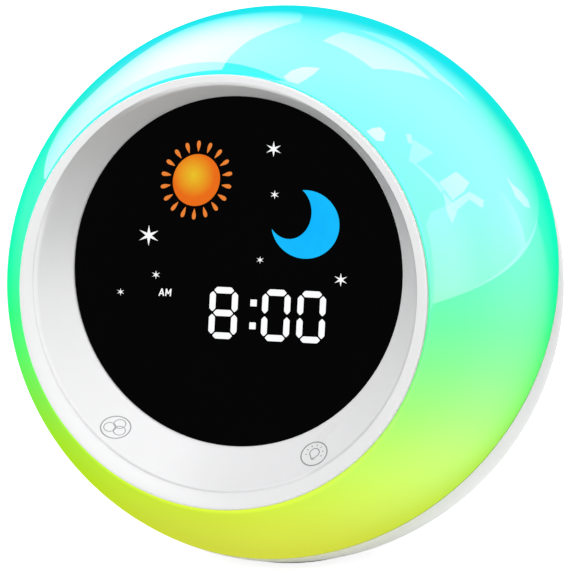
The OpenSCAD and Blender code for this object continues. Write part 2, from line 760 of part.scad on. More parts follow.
// Smooth curve through the route's places
function smooth(p, steps) = [
  for (i = [0:len(p) - 2], k = [0:steps - 1]) let (
    t = k / steps, a = p[max(i - 1, 0)], b = p[i], c = p[i + 1], d = p[min(i + 2, len(p) - 1)]
  ) b + (c - a) * t / 2 + (2 * a - 5 * b + 4 * c - d) * t * t / 2 + (3 * b - a - 3 * c + d) * t * t * t / 2,
  p[len(p) - 1]
];

// Place beside point i of the curve, at a distance from it. The ends stand square to the plugs.
function beside(p, i, away) = let (
  last = len(cable_route) - 1,
  way = i == 0 ? cable_route[1] - cable_route[0]
    : i == len(p) - 1 ? cable_route[last] - cable_route[last - 1]
    : p[i + 1] - p[i - 1]
) p[i] + away * [-way[1], way[0]] / norm(way);

module ribbon_cable() color([0.6, 0.6, 0.62]) in_ball()
  translate([-cable_w / 2, 0, 0]) rotate([90, 0, 90]) linear_extrude(cable_w) {
    line = smooth(cable_route, 5);
    last = len(line) - 1;
    polygon([
      for (i = [0:last]) beside(line, i, cable_t / 2),
      for (i = [last:-1:0]) beside(line, i, -cable_t / 2)
    ]);
  }

module cable_plugs() color([0.93, 0.92, 0.86]) {
  in_face() translate([-cable_w / 2 - plug_side, -plug_h[0] / 2, display_plug_r])
    cube([cable_w + 2 * plug_side, plug_h[0], plug_t]);
  in_back() translate([-cable_w / 2 - plug_side, cable_drop - plug_h[1] / 2, rear_board_z - plug_t])
    cube([cable_w + 2 * plug_side, plug_h[1], plug_t]);
}

// Rubber pad with a grip ring moulded round its underside
module foot_pad() color([0.25, 0.25, 0.26]) difference() {
  translate([0, 0, pad_t]) mirror([0, 0, 1]) rounded_disc(pad_r, pad_t, pad_edge);
  for (r = pad_grooves) ring(r + pad_groove[0], r, -1, pad_groove[1]);
}

front_bezel();
display_lens();
icon_film();
light_box();
display_board();
display_leds();
touch_pad_left();
touch_pad_right();
diffuser_shell();
inner_frame();
frame_screws();
night_light_board();
night_light_leds();
rear_shell();
case_screws();
rear_panel();
panel_screws();
time_button();
alarm_button();
nap_button();
minus_button();
plus_button();
time_plunger();
alarm_plunger();
nap_plunger();
minus_plunger();
plus_plunger();
button_board();
switch_housings();
main_board();
board_chips();
board_screws();
usb_socket();
speaker_gasket();
speaker_basket();
speaker_cone();
speaker_magnet();
battery_door();
battery_cells();
battery_contacts();
battery_springs();
ribbon_cable();
cable_plugs();
foot_pad();
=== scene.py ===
"""Ball-shaped bedside clock: a lit crescent, a dished display and a white rear shell."""

import math

import bmesh
import bpy
import numpy as np
from mathutils import Matrix, Vector


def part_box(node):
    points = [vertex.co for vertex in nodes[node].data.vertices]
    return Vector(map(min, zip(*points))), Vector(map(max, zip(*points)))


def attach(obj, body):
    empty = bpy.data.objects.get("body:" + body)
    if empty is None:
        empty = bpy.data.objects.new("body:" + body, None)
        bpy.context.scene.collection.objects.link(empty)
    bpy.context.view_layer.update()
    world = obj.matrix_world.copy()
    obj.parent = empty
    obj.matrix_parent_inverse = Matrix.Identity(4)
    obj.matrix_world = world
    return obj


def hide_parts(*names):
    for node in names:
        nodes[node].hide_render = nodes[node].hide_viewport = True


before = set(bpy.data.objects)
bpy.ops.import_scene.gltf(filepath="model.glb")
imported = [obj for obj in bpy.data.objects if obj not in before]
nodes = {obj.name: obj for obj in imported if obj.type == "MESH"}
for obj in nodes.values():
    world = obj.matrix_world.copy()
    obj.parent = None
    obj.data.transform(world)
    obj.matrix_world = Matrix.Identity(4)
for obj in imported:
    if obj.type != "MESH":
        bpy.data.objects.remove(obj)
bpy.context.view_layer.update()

# ---- Camera: a long lens, a little to the right of the display and above it, held with a slight roll ----

ball_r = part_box("diffuser_shell")[1].x
ball_centre = Vector((0, 0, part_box("diffuser_shell")[1].z - ball_r))
view_turn, view_rise, view_roll = (math.radians(a) for a in (20.92, 14.73, 2.90))
view_distance = 2.6
to_camera = Vector((math.sin(view_turn) * math.cos(view_rise), -math.cos(view_turn) * math.cos(view_rise),
                    math.sin(view_rise)))
level_right = Vector((math.cos(view_turn), math.sin(view_turn), 0))
level_up = to_camera.cross(level_right)
view_right = math.cos(view_roll) * level_right - math.sin(view_roll) * level_up
view_up = math.sin(view_roll) * level_right + math.cos(view_roll) * level_up
view_axes = Matrix((view_right, view_up, to_camera)).transposed().to_4x4()

camera = bpy.data.cameras.new("camera")
camera.sensor_width = 36
camera.lens = 606.7
camera.clip_end = 50
camera_object = bpy.data.objects.new("camera", camera)
bpy.context.scene.collection.objects.link(camera_object)
aim_right, aim_down = 0.00024, 0.00073
stand = ball_centre + aim_right * view_right - aim_down * view_up + view_distance * to_camera
camera_object.matrix_world = Matrix.Translation(stand) @ view_axes
bpy.context.scene.camera = camera_object
bpy.context.scene.view_settings.view_transform = "Standard"

# ---- Studio: white surroundings, two soft boxes for the matt parts, and glowing cards that only the gloss
# shows. Places are given right, up and towards the camera, in metres from the ball's centre. ----


def add(tree, kind, sockets=None, **settings):
    """One shader node: its settings, and its sockets set to a value or linked from another node's output."""
    made = tree.nodes.new("ShaderNode" + kind)
    for name, value in settings.items():
        setattr(made, name, value)
    for name, value in (sockets or {}).items():
        if isinstance(value, bpy.types.NodeSocket):
            tree.links.new(value, made.inputs[name])
        else:
            made.inputs[name].default_value = value
    return made


def number(tree, operation, *values, **settings):
    """What a Math node gives for these values."""
    return add(tree, "Math", dict(enumerate(values)), operation=operation, **settings).outputs[0]


def vector(tree, operation, *values):
    """What a Vector Math node gives: a number for a length or a dot product, and otherwise a vector."""
    sockets = dict(zip((0, "Scale") if operation == "SCALE" else (0, 1), values))
    kind = "Value" if operation in ("LENGTH", "DOT_PRODUCT") else "Vector"
    return add(tree, "VectorMath", sockets, operation=operation).outputs[kind]


def mapped(tree, value, source=(0, 1), target=(0, 1), kind="LINEAR"):
    """A value carried over from one range to another, and held at the ends."""
    return add(tree, "MapRange", {"Value": value, "From Min": source[0], "From Max": source[1],
                                  "To Min": target[0], "To Max": target[1]},
               interpolation_type=kind).outputs["Result"]


def seen_directly(tree):
    """1 for rays from the camera and for those that gloss or glass sends on, 0 for soft light."""
    path = add(tree, "LightPath").outputs
    mask = number(tree, "MAXIMUM", path["Is Camera Ray"], path["Is Glossy Ray"])
    return number(tree, "MAXIMUM", mask, path["Is Transmission Ray"])


def placed(name, points, faces, *materials):
    """Object in the scene with a mesh of these points and faces."""
    mesh = bpy.data.meshes.new(name)
    mesh.from_pydata(points, [], faces)
    for m in materials:
        mesh.materials.append(m)
    o = bpy.data.objects.new(name, mesh)
    bpy.context.scene.collection.objects.link(o)
    return o


ambient = 0.18
world = bpy.data.worlds.new("studio")
bpy.context.scene.world = world
world.use_nodes = True
tree = world.node_tree
tree.nodes.clear()
soft = add(tree, "Background", {"Color": (1, 1, 1, 1), "Strength": ambient})
white = add(tree, "Background", {"Color": (1, 1, 1, 1), "Strength": 1})
mix = add(tree, "MixShader", {0: seen_directly(tree), 1: soft.outputs[0], 2: white.outputs[0]})
add(tree, "OutputWorld", {0: mix.outputs[0]})


def lamp(name, way, glow, distance=2.2, size=1.2):
    """Square soft box in this direction from the ball's centre. Gloss doesn't show it."""
    light = bpy.data.lights.new(name, "AREA")
    light.size = size
    light.energy = glow * math.pi * size ** 2
    o = bpy.data.objects.new(name, light)
    bpy.context.scene.collection.objects.link(o)
    way = Vector(way).normalized()
    o.matrix_world = (Matrix.Translation(ball_centre) @ view_axes @ Matrix.Translation(distance * way)
                      @ way.to_track_quat("Z", "Y").to_matrix().to_4x4())
    o.visible_camera = o.visible_glossy = False


lamp("key", (-0.3, 0.43, 0.85), 7.4)
lamp("back_fill", (0.15, 0.6, -0.79), 4.8)


def card(name, points, faces, glow, fade=()):
    """Glowing card that only the gloss shows, over what is behind it. A fade is a way and two places along
    it, between which the card comes up from clear."""
    light = bpy.data.materials.new(name)
    light.use_nodes = True
    tree = light.node_tree
    tree.nodes.clear()
    strength = glow
    if fade:
        way, low, high = fade
        along = vector(tree, "DOT_PRODUCT", add(tree, "TexCoord").outputs["Object"], way)
        strength = mapped(tree, along, (low, high), (0, glow), "SMOOTHSTEP")
    emission = add(tree, "Emission", {"Strength": strength}).outputs[0]
    both = add(tree, "AddShader", {0: emission, 1: add(tree, "BsdfTransparent").outputs[0]})
    add(tree, "OutputMaterial", {0: both.outputs[0]})
    o = placed(name, points, faces, light)
    o.matrix_world = Matrix.Translation(ball_centre) @ view_axes
    o.visible_camera = o.visible_diffuse = o.visible_transmission = o.visible_shadow = False


# Glow of each flat card, and the outline of its reflection in the picture, traced in pixels
cards = {
    "left_box": (6.4, [
        (44, 178), (49, 150), (61, 127), (86, 100), (116, 73.5), (147, 50), (162, 40.5), (190, 27),
        (215, 19), (240, 14.5), (270, 11.5), (296, 11), (303, 15), (300, 22), (270, 31), (250, 40),
        (237, 50), (228, 59), (222, 69.5), (183, 77.5), (152, 87.5), (115, 105.5), (75, 139.5), (46, 180)]),
    "back_strip": (6, [(323, 41), (343, 32), (392, 49), (431, 80), (373, 69)]),
    "far_strip": (5.5, [(358, 30), (400, 41), (439, 73), (469, 103), (434, 76), (398, 49)]),
    "right_box": (2.5, [
        (433, 303), (453.5, 295.5), (470, 289), (483, 283), (494, 276), (504.5, 268), (518, 254.5),
        (526, 244), (522.5, 228), (515, 210.5), (506, 196), (494, 187), (480, 182.5), (470, 184),
        (458, 200), (431, 212), (426, 225)]),
    "top_spot": (8, [
        (283.5, 77), (291, 71), (303, 67), (320, 68), (314, 74), (306.5, 79), (298, 84), (288, 81)]),
    "edge_spot": (11, [(365.7, 131.6), (372.9, 128), (380, 127.1), (385.4, 132.5), (383.6, 141.4),
                       (376.4, 140.5)]),
    "glint_a": (6, [(405.9, 134.3), (411.3, 134.3), (412.5, 143.2), (408.6, 143.6)]),
    "glint_b": (3.5, [(413, 139.6), (433.6, 153), (415.7, 163.8), (408.6, 161.1), (410.4, 152.1)]),
    "glint_line": (4, [(412.5, 162.5), (417.1, 164.3), (444.3, 189.6), (441.3, 192.9)]),
    "glint_c": (6, [(438.9, 182.5), (455.9, 171.8), (469.3, 182.5), (463.9, 191.4), (452.3, 200.4)]),
    "glint_d": (5, [(442.5, 191.4), (452.3, 202.5), (469.3, 191.8), (483.9, 200.4), (482.7, 208.4),
                    (469.3, 199.5), (457.7, 209.3), (452.3, 223.6), (447, 212.9)]),
    "rim_glint": (6, [(505.9, 175.4), (512.1, 184.3), (521.1, 191.4), (528.2, 200.4), (530.4, 207.9),
                      (524.6, 206.6), (515.7, 197)]),
}
picture = 573
focus = camera.lens / camera.sensor_width * picture


def mirrored(outline, distance=1.0):
    """Corners of the flat card that the ball mirrors to this outline in the picture."""
    eye = np.array([aim_right, -aim_down, view_distance])
    u, v = np.array(outline, float).T
    ways = np.stack([u - picture / 2, picture / 2 - v, 0 * u - focus], -1)
    ways /= np.linalg.norm(ways, axis=1, keepdims=True)
    along = ways @ eye
    hits = eye - (along + np.sqrt(along ** 2 - eye @ eye + ball_r ** 2))[:, None] * ways
    normals = hits / ball_r
    ways -= 2 * (ways * normals).sum(1, keepdims=True) * normals
    middle = ways.sum(0) / np.linalg.norm(ways.sum(0))
    return hits + ((distance - hits @ middle) / (ways @ middle))[:, None] * ways


card_fades = {"right_box": ((0, 0, 1), 0, 0.4)}
strip_glow, strip_distance = 2.8, 1.03
for name, (glow, outline) in cards.items():
    card(name, mirrored(outline).tolist(), [range(len(outline))], glow, card_fades.get(name, ()))
strip = strip_distance * mirrored(cards["right_box"][1])
card("right_strip", strip.tolist(), [range(len(strip))], strip_glow, ((0, 0, -1), 0.25, 0.6))

# Walls and ceiling of the room, brighter from low down to overhead, and the light ground about the clock
dome_r, dome_glow, dome_steps = 1.8, 4.9, 32
dome_turns, dome_rises = (np.linspace(math.radians(first), math.radians(last), dome_steps + 1)
                          for first, last in ((-40, 220), (-50, 90)))
dome_points = [(dome_r * math.sin(turn) * math.cos(rise), dome_r * math.sin(rise),
                dome_r * math.cos(turn) * math.cos(rise)) for turn in dome_turns for rise in dome_rises]
dome_faces = [(a, a + 1, a + dome_steps + 2, a + dome_steps + 1)
              for a in range(dome_steps * (dome_steps + 1)) if a % (dome_steps + 1) < dome_steps]
card("dome", dome_points, dome_faces, dome_glow, ((0.5, 1, 0.3), -0.1 * dome_r, 0.6 * dome_r))
to_view = view_axes.to_3x3().inverted()
sheet_z, sheet_glow = 0.002, 2.1
sheet = [to_view @ (Vector((x, y, sheet_z)) - ball_centre) for x, y in ((-1, -2), (2, -2), (2, 2), (-1, 2))]
card("floor_sheet", sheet, [range(4)], sheet_glow, ((0.7, 0, 0.7), 0, 0.07))


def material(name, **plain):
    """Material with these plain settings, its node tree, and the sockets of its shader."""
    m = bpy.data.materials.new(name)
    m.use_nodes = True
    shader = m.node_tree.nodes["Principled BSDF"].inputs
    for socket, value in plain.items():
        shader[socket.replace("_", " ")].default_value = value
    return m, m.node_tree, shader


floor_z, paper_glow = -0.00005, 0.84
paper, tree, shader = material("studio_paper", Base_Color=(0.8, 0.8, 0.8, 1), Roughness=1,
                               Specular_IOR_Level=0, Emission_Color=(1, 1, 1, 1))
tree.links.new(number(tree, "MULTIPLY", seen_directly(tree), paper_glow), shader["Emission Strength"])
placed("floor", [(x, y, floor_z) for x, y in ((-6, -6), (6, -6), (6, 12), (-6, 12))], [range(4)],
                paper)

# ---- Diffuser: milky polycarbonate crescent, moulded as one zone of the ball, polished outside and lit from
# a ring of colour lamps inside. It runs from the bezel's mouth back to the sloping seam. ----

face_tilt, seam_tilt = math.radians(12), math.radians(31.2)
face_axes = np.array([[1, 0, 0], [0, math.sin(face_tilt), math.cos(face_tilt)],
                      [0, -math.cos(face_tilt), math.sin(face_tilt)]])


def in_face(points):
    """Points given in millimetres along the face's own axes, from the ball's centre, as row-frame metres."""
    return np.asarray(points, float) @ face_axes / 1000 + np.array(ball_centre)


def skin(name, rows, closed=True):
    """Smooth mesh through rows of points that each run round. Closed joins the last row to the first one,
    and otherwise flat faces close the two ends."""
    rows = np.asarray(rows, float)
    n, m = rows.shape[:2]
    index = np.arange(n * m).reshape(n, m)
    after = np.roll(index, -1, 0)
    faces = np.stack([index, np.roll(index, -1, 1), np.roll(after, -1, 1), after], -1)
    faces = (faces if closed else faces[:-1]).reshape(-1, 4).tolist()
    if not closed:
        faces += [index[0, ::-1].tolist(), index[-1].tolist()]
    o = placed(name, rows.reshape(-1, 3).tolist(), faces)
    o.data.shade_smooth()
    return outward(o)


def outward(o):
    """Turns the faces of a closed mesh to the outside."""
    work = bmesh.new()
    work.from_mesh(o.data)
    bmesh.ops.recalc_face_normals(work, faces=work.faces)
    work.to_mesh(o.data)
    work.free()
    return o


def full_turn(count):
    """Angles in even steps round a full turn."""
    return np.linspace(0, 2 * math.pi, count, endpoint=False)


outer_r, inner_r, edge = 75.0, 72.6, 0.35
mouth_r, skirt_z, ledge_z, ledge_r = 57.91, 44.0, 42.4, 56.41
seam_back, lean = 7.7, seam_tilt - face_tilt
turns = full_turn(240)


def seam_angle(radius):
    """Angle from the face's axis at which a ball of this radius meets the seam plane."""
    a, b = math.cos(lean), math.sin(lean) * np.sin(turns)
    return np.arctan2(b, a) + np.arccos(-seam_back / (radius * np.hypot(a, b)))


def on_ball(radius, angle):
    return np.stack([radius * np.sin(angle) * np.cos(turns), radius * np.sin(angle) * np.sin(turns),
                     radius * np.cos(angle) + 0 * turns], -1)


def level_ring(radius, height, up=0.0):
    return np.stack([radius * np.cos(turns), radius * np.sin(turns) + up, 0 * turns + height], -1)


mouth_angle, inner_angle = math.asin(mouth_r / outer_r), math.acos(ledge_z / inner_r)
seam_outer, seam_inner, edge_angle = seam_angle(outer_r), seam_angle(inner_r), edge / outer_r
section = [on_ball(outer_r, mouth_angle + edge_angle + t * (seam_outer - mouth_angle - 2 * edge_angle))
           for t in np.linspace(0, 1, 70)]
section += [on_ball(outer_r - edge * (1 - math.cos(t)), seam_outer - edge_angle * (1 - math.sin(t)))
            for t in np.linspace(0, math.pi / 2, 5)[1:]]
section += [on_ball(radius, seam_angle(radius)) for radius in (74.0, 73.0)]
section += [on_ball(inner_r, seam_inner + t * (inner_angle - seam_inner)) for t in np.linspace(0, 1, 40)]
section += [level_ring(radius, height) for radius, height in (
    (ledge_r, ledge_z), (ledge_r, skirt_z), (mouth_r, skirt_z), (mouth_r, 46.0), (mouth_r, 47.3))]
section += [on_ball(outer_r - edge * (1 - t) ** 2, mouth_angle + edge_angle * t ** 2) for t in (0.35, 0.7)]
diffuser = skin("diffuser", in_face(section))


def noise(tree, place, scale, detail=2):
    return add(tree, "TexNoise", {"Vector": place, "Scale": scale, "Detail": detail}).outputs["Fac"]


glow, tree, shader = material("milky_diffuser", Base_Color=(0.02, 0.02, 0.01, 1), Roughness=0.5,
                              Specular_IOR_Level=0, Coat_IOR=1.5, Coat_Roughness=0.03, Emission_Strength=1.2)
# Millimetres up from the middle of the glow, and its colour there
lit = [(75, 0, .79, .84), (60, 0, .84, .66), (45, 0, .92, .61), (30, 0, .96, .54), (12, 0, .97, .375),
       (0, .015, .96, .225), (-12, .085, .92, .125), (-24, .2, .82, .054), (-36, .36, .77, .017),
       (-48, .48, .73, .012), (-58, .56, .68, .03), (-66, .62, .67, .05), (-74, .7, .63, .05)]
glow_way, glow_drop, glow_reach = (-0.02, 0.33, 1.02), 0.0125, 75
place = add(tree, "TexCoord").outputs["Object"]
glow_middle = glow_way[2] * ball_centre.z - glow_drop
span = mapped(tree, vector(tree, "DOT_PRODUCT", place, glow_way),
              (glow_middle - glow_reach / 1000, glow_middle + glow_reach / 1000))
ramp = add(tree, "ValToRGB", {"Fac": span})
stops = ramp.color_ramp.elements
while len(stops) < len(lit):
    stops.new(0.5)
for stop, (at, *colour) in zip(stops, reversed(lit)):
    stop.position = (at + glow_reach) / (2 * glow_reach)
    stop.color = (*colour, 1)

# The glow's strength: faint clouds, a darker outline, and a brighter edge at the mouth
cloud = mapped(tree, noise(tree, place, 28, 3), target=(0.95, 1.05))
facing = add(tree, "LayerWeight", {"Blend": 0.5}).outputs["Facing"]
rim = mapped(tree, facing, (0.42, 0.75), (1, 0.86))
mouth = float(np.dot(ball_centre, face_axes[2])) + math.sqrt(outer_r ** 2 - mouth_r ** 2) / 1000
out = vector(tree, "DOT_PRODUCT", place, tuple(face_axes[2]))
mouth_glow_back, mouth_glow_front = 0.0014, 0.0003
mouth_glow = mapped(tree, out, (mouth - mouth_glow_back, mouth - mouth_glow_front), (1, 1.2))
strength = number(tree, "MULTIPLY", number(tree, "MULTIPLY", cloud, rim), mouth_glow)
tree.links.new(vector(tree, "SCALE", ramp.outputs["Color"], strength), shader["Emission Color"])

# The polish: it weakens towards the ball's outline, sooner on the right, and to the lower left
centred = vector(tree, "SUBTRACT", place, tuple(ball_centre))
rightward, slantward = (vector(tree, "DOT_PRODUCT", centred, tuple(way))
                        for way in (view_right, 0.6 * view_right + 0.8 * view_up))
fade_from = mapped(tree, rightward, (-0.45 * ball_r, 0.1 * ball_r), (0.42, 0.3))
fade_to = number(tree, "MULTIPLY_ADD", fade_from, 0.8, 0.56)
fade = mapped(tree, facing, (fade_from, fade_to), (1, 0), "SMOOTHSTEP")
polish = mapped(tree, slantward, (-0.95 * ball_r, 0.15 * ball_r), (0.15, 1), "SMOOTHSTEP")
tree.links.new(number(tree, "MULTIPLY", polish, fade), shader["Coat Weight"])
bump = add(tree, "Bump", {"Height": noise(tree, place, 60), "Strength": 0.02, "Distance": 0.0002})
for socket in ("Normal", "Coat Normal"):
    tree.links.new(bump.outputs["Normal"], shader[socket])
diffuser.data.materials.append(glow)
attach(diffuser, "clock_body")
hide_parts("diffuser_shell")

# ---- Bezel: glossy white moulding. Its rolled lip sits in the diffuser's mouth, and an eccentric dish slopes
# back to the display, steep at the top and shallow at the bottom. Four bosses behind take the frame's
# screws. ----


def effect(name, inputs):
    """Shader node group for what varies over a surface. Its inputs are given as name: default, and it comes
    back with their sockets and the place on the object."""
    group = bpy.data.node_groups.new(name, "ShaderNodeTree")
    for socket, value in inputs.items():
        kind = "NodeSocketFloat" if isinstance(value, (int, float)) else "NodeSocketColor"
        group.interface.new_socket(socket, in_out="INPUT", socket_type=kind).default_value = value
    return group, group.nodes.new("NodeGroupInput").outputs, add(group, "TexCoord").outputs["Object"]


def put_out(group, made):
    """Gives a group its outputs, each with the socket that feeds it."""
    for name in made:
        kind = "NodeSocketColor" if name.endswith("Color") else "NodeSocketFloat"
        group.interface.new_socket(name, in_out="OUTPUT", socket_type=kind)
    outputs = group.nodes.new("NodeGroupOutput").inputs
    for name, value in made.items():
        group.links.new(value, outputs[name])


def spread(group, source, middle, amount):
    """A noise as a value round the middle one, up to the amount away."""
    low, high = (number(group, way, middle, amount) for way in ("SUBTRACT", "ADD"))
    return mapped(group, source, (0.25, 0.75), (low, high))


# Moulded plastic and rubber: faint clouds in the colour, uneven gloss and the tool's fine texture
moulded, given, place = effect("moulded_finish", {
    "Colour": (1, 1, 1, 1), "Clouds": 0.02, "Gloss": 0.4, "Gloss Spread": 0.05, "Grain": 1500.0})
cloud = noise(moulded, place, 35, 4)
put_out(moulded, {
    "Base Color": vector(moulded, "SCALE", given["Colour"], spread(moulded, cloud, 1, given["Clouds"])),
    "Roughness": spread(moulded, cloud, given["Gloss"], given["Gloss Spread"]),
    "Height": noise(moulded, place, given["Grain"])})


def finish(name, effect, settings, texture=0, **plain):
    """Material from an effect, which gives what varies over the surface. The plain settings are the same all
    over, and texture is the depth of its relief in metres."""
    m, tree, shader = material(name, **plain)
    for output in add(tree, "Group", settings, node_tree=effect).outputs:
        if output.name == "Height":
            bump = add(tree, "Bump", {"Height": output, "Distance": texture, "Strength": 1})
            tree.links.new(bump.outputs["Normal"], shader["Normal"])
        else:
            tree.links.new(output, shader[output.name])
    return m


def plastic(name, colour, clouds, gloss, grain, gloss_spread=0.05, texture=0.00001, **plain):
    """Moulded plastic or rubber. Grain is the scale of its texture."""
    return finish(name, moulded, {"Colour": (*colour, 1), "Clouds": clouds, "Gloss": gloss,
                                  "Gloss Spread": gloss_spread, "Grain": grain}, texture, **plain)


mouth_z, dish_mouth_r, rim_r, lip_top = 47.9, 55.31, 57.71, 48.85
window_z, window_r, window_up = 37.3, 46.6, 5.1


def on_dish(z):
    """Radius, height up the face and depth of the dish's slope at this depth."""
    share = (z - window_z) / (mouth_z - window_z)
    return window_r + (dish_mouth_r - window_r) * share, window_up * (1 - share), z


def dish_depth(x, y):
    """Depth of the dish's slope at these places across the face, closed in on by steps."""
    wider = dish_mouth_r - window_r
    share = np.full(np.shape(x), 0.5)
    for _ in range(12):
        reach = np.hypot(x, y - window_up * (1 - share))
        share += (reach - window_r - wider * share) / (wider + window_up)
    return window_z + (mouth_z - window_z) * share


def bend(a, b, c, steps):
    """Round from a to c about the corner b."""
    a, b, c = (np.array(p, float) for p in (a, b, c))
    return [(1 - t) ** 2 * a + 2 * t * (1 - t) * b + t * t * c for t in np.linspace(0, 1, steps)]


def joined(name, parts):
    """One object from several."""
    points, faces = [], []
    for part in parts:
        first = len(points)
        points += [v.co[:] for v in part.data.vertices]
        faces += [[first + i for i in f.vertices] for f in part.data.polygons]
        bpy.data.objects.remove(part)
    o = placed(name, points, faces)
    o.data.shade_smooth()
    return o


# The lip is a flat ring, wider below than above, and its inner edge sinks with the dish towards the bottom.
lip_in_r, lip_in_up = 54.4, 1.2
slope = dish_depth(lip_in_r * np.cos(turns), lip_in_r * np.sin(turns) + lip_in_up)
sunk = (lip_top - slope) * np.minimum(1, 0.5 + 0.5 * np.clip(-np.sin(turns), 0, 1) ** 2
                                      + 0.4 * np.clip(-np.cos(turns), 0, 1) ** 2)

# Radius, height up the face and depth: up the rim, over the lip, down the dish, round the lens's pocket and
# up behind the dish
rim_low, roll_low, roll_r, roll_steps = 46.0, 48.2, 57.15, 8
seat_z, pocket_r, pocket_back, wall_r = 36.8, 48.8, 33.2, 51.0
profile = [(rim_r, 0, skirt_z), (rim_r, 0, rim_low)]
profile += bend((rim_r, 0, roll_low), (rim_r, 0, lip_top), (roll_r, 0, lip_top), roll_steps)
profile += [(lip_in_r + 0.6, lip_in_up, lip_top - sunk * 0.85),
            (lip_in_r + 0.2, lip_in_up, lip_top - sunk * 0.93),
            (lip_in_r + 0.04, lip_in_up, lip_top - sunk - 0.06),
            (lip_in_r, lip_in_up, np.minimum(lip_top - sunk - 0.2, slope + 0.5)),
            (lip_in_r - 0.05, lip_in_up, slope + 0.02)]
profile += [on_dish(z) for z in np.linspace(45.6, 37.9, 14)]
profile += bend(on_dish(37.6), on_dish(window_z), (window_r, window_up, 37.0), 5)
profile += [(r, window_up, z) for r, z in ((window_r, seat_z), (pocket_r, seat_z), (pocket_r, pocket_back),
                                           (wall_r, pocket_back), (wall_r, window_z))]
profile += [(49.3, 4.33, window_z), (54.3, 1.15, 43.6), (55.2, 0.4, 45.2), (55.71, 0, 45.0),
            (55.71, 0, skirt_z)]
parts = [skin("ring", in_face([level_ring(r, z, up) for r, up, z in profile]))]
boss_arc, boss_r, boss_hole_r, boss_low, boss_high = 53, 3.2, 1.5, 22.4, 36.3
boss_places = [(boss_arc * math.cos(a), window_up + boss_arc * math.sin(a))
               for a in np.radians([45, 135, 225, 315])]
wall = [(boss_r, boss_low), (boss_r, boss_high), (boss_hole_r, boss_high), (boss_hole_r, boss_low)]
parts += [skin("boss", in_face([level_ring(r, z)[::10] + [x, y, 0] for r, z in wall]))
          for x, y in boss_places]
bezel = joined("bezel", parts)
bezel.data.materials.append(plastic("white_abs", (0.88, 0.88, 0.89), clouds=0.01, gloss=0.3,
                                    gloss_spread=0.04, grain=900, texture=0.000004, Specular_IOR_Level=0.35))
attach(bezel, "clock_body")
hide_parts("front_bezel")

# ---- Display lens: disc of smoked acrylic with a hard coat and an eased edge. It is seated from behind
# against the edge of the dish. ----

lens_r, lens_back, lens_front, lens_ease = 48.6, 34.8, 36.8, 0.25
profile = [(lens_r - lens_ease, lens_back), (lens_r, lens_back + lens_ease), (lens_r, lens_front - lens_ease),
           (lens_r - lens_ease, lens_front)]
lens = skin("lens", in_face([level_ring(r, z, window_up) for r, z in profile]), closed=False)
lens.data.shade_flat()
lens.data.materials.append(plastic("smoked_lens", (0.0003, 0.0003, 0.0004), clouds=0.3, gloss=0.08,
                                   gloss_spread=0.02, grain=400, texture=0.000001, Specular_IOR_Level=0.02))
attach(lens, "clock_body")
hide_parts("display_lens")

# ---- Display marks: digits, sun, moon and stars, lit from the cells of the light box behind the lens. They
# stand on the lens as thin inlays. Places are millimetres from the display's middle. ----


def relief(name, outlines, place, low, high):
    """Thin raised shapes. Each outline is a closed list of (x, y), or a pair of them for a loop with a hole.
    Place takes lists of x, y and height to the row frame."""
    points, faces = [], []
    for outline in outlines:
        loops = outline if isinstance(outline, tuple) else (outline,)
        first, n = len(points), len(loops[0])
        for loop in loops:
            x, y = np.array(loop, float).T
            points += place(x, y, low).tolist() + place(x, y, high).tolist()
        around = [(i, (i + 1) % n) for i in range(n)]
        faces += [[first + i, first + j, first + n + j, first + n + i] for i, j in around]
        if len(loops) == 1:
            faces += [[first + n + i for i in range(n)], [first + n - 1 - i for i in range(n)]]
        else:
            other = first + 2 * n
            faces += [[other + j, other + i, other + n + i, other + n + j] for i, j in around]
            for level in (0, n):
                faces += [[first + level + i, first + level + j, other + level + j, other + level + i]
                          for i, j in around]
    return outward(placed(name, points, faces))


def eased(outline, cut):
    """Outline with each corner rounded off."""
    outline = [np.array(p, float) for p in outline]
    result = []
    for i, here in enumerate(outline):
        before, after = outline[i - 1] - here, outline[(i + 1) % len(outline)] - here
        a, c = here + cut * before / np.linalg.norm(before), here + cut * after / np.linalg.norm(after)
        result += [p[:2] for p in bend(a, here, c, 3)]
    return result


def on_lens(x, y, height):
    return in_face(np.stack([x, y + window_up, 0 * x + lens_front + height], -1))


def arc(x, y, radius, first=0.0, last=360.0, count=96):
    around = np.radians(np.linspace(first, last, count, endpoint=last - first < 360))
    return [(x + radius * math.cos(a), y + radius * math.sin(a)) for a in around]


# Height of the marks above the lens, and the sizes of the digits
mark_low, mark_high = 0.005, 0.04
digit_w, digit_h, stroke, bar_gap = 8.0, 13.8, 1.7, 0.3
digit_y, digit_lean = -11.25, math.tan(math.radians(1.5))
bar_x, bar_y = (digit_w - stroke) / 2, (digit_h - stroke) / 4
bars = {"top": (0, 2, 0), "middle": (0, 0, 0), "bottom": (0, -2, 0), "upper_left": (-1, 1, 1),
        "upper_right": (1, 1, 1), "lower_left": (-1, -1, 1), "lower_right": (1, -1, 1)}


def leaned(x, outline):
    return [(x + a + digit_lean * b, b + digit_y) for a, b in outline]


def bar(x, which):
    """One stroke of a digit: a long hexagon, upright or level."""
    side, up, upright = bars[which]
    tip = (bar_y if upright else bar_x) - bar_gap
    flat, half = tip - stroke / 2, stroke / 2
    shape = eased([(-tip, 0), (-flat, half), (flat, half), (tip, 0), (flat, -half), (-flat, -half)], 0.25)
    return leaned(x, [(side * bar_x - b, up * bar_y + a) if upright else (side * bar_x + a, up * bar_y + b)
                      for a, b in shape])


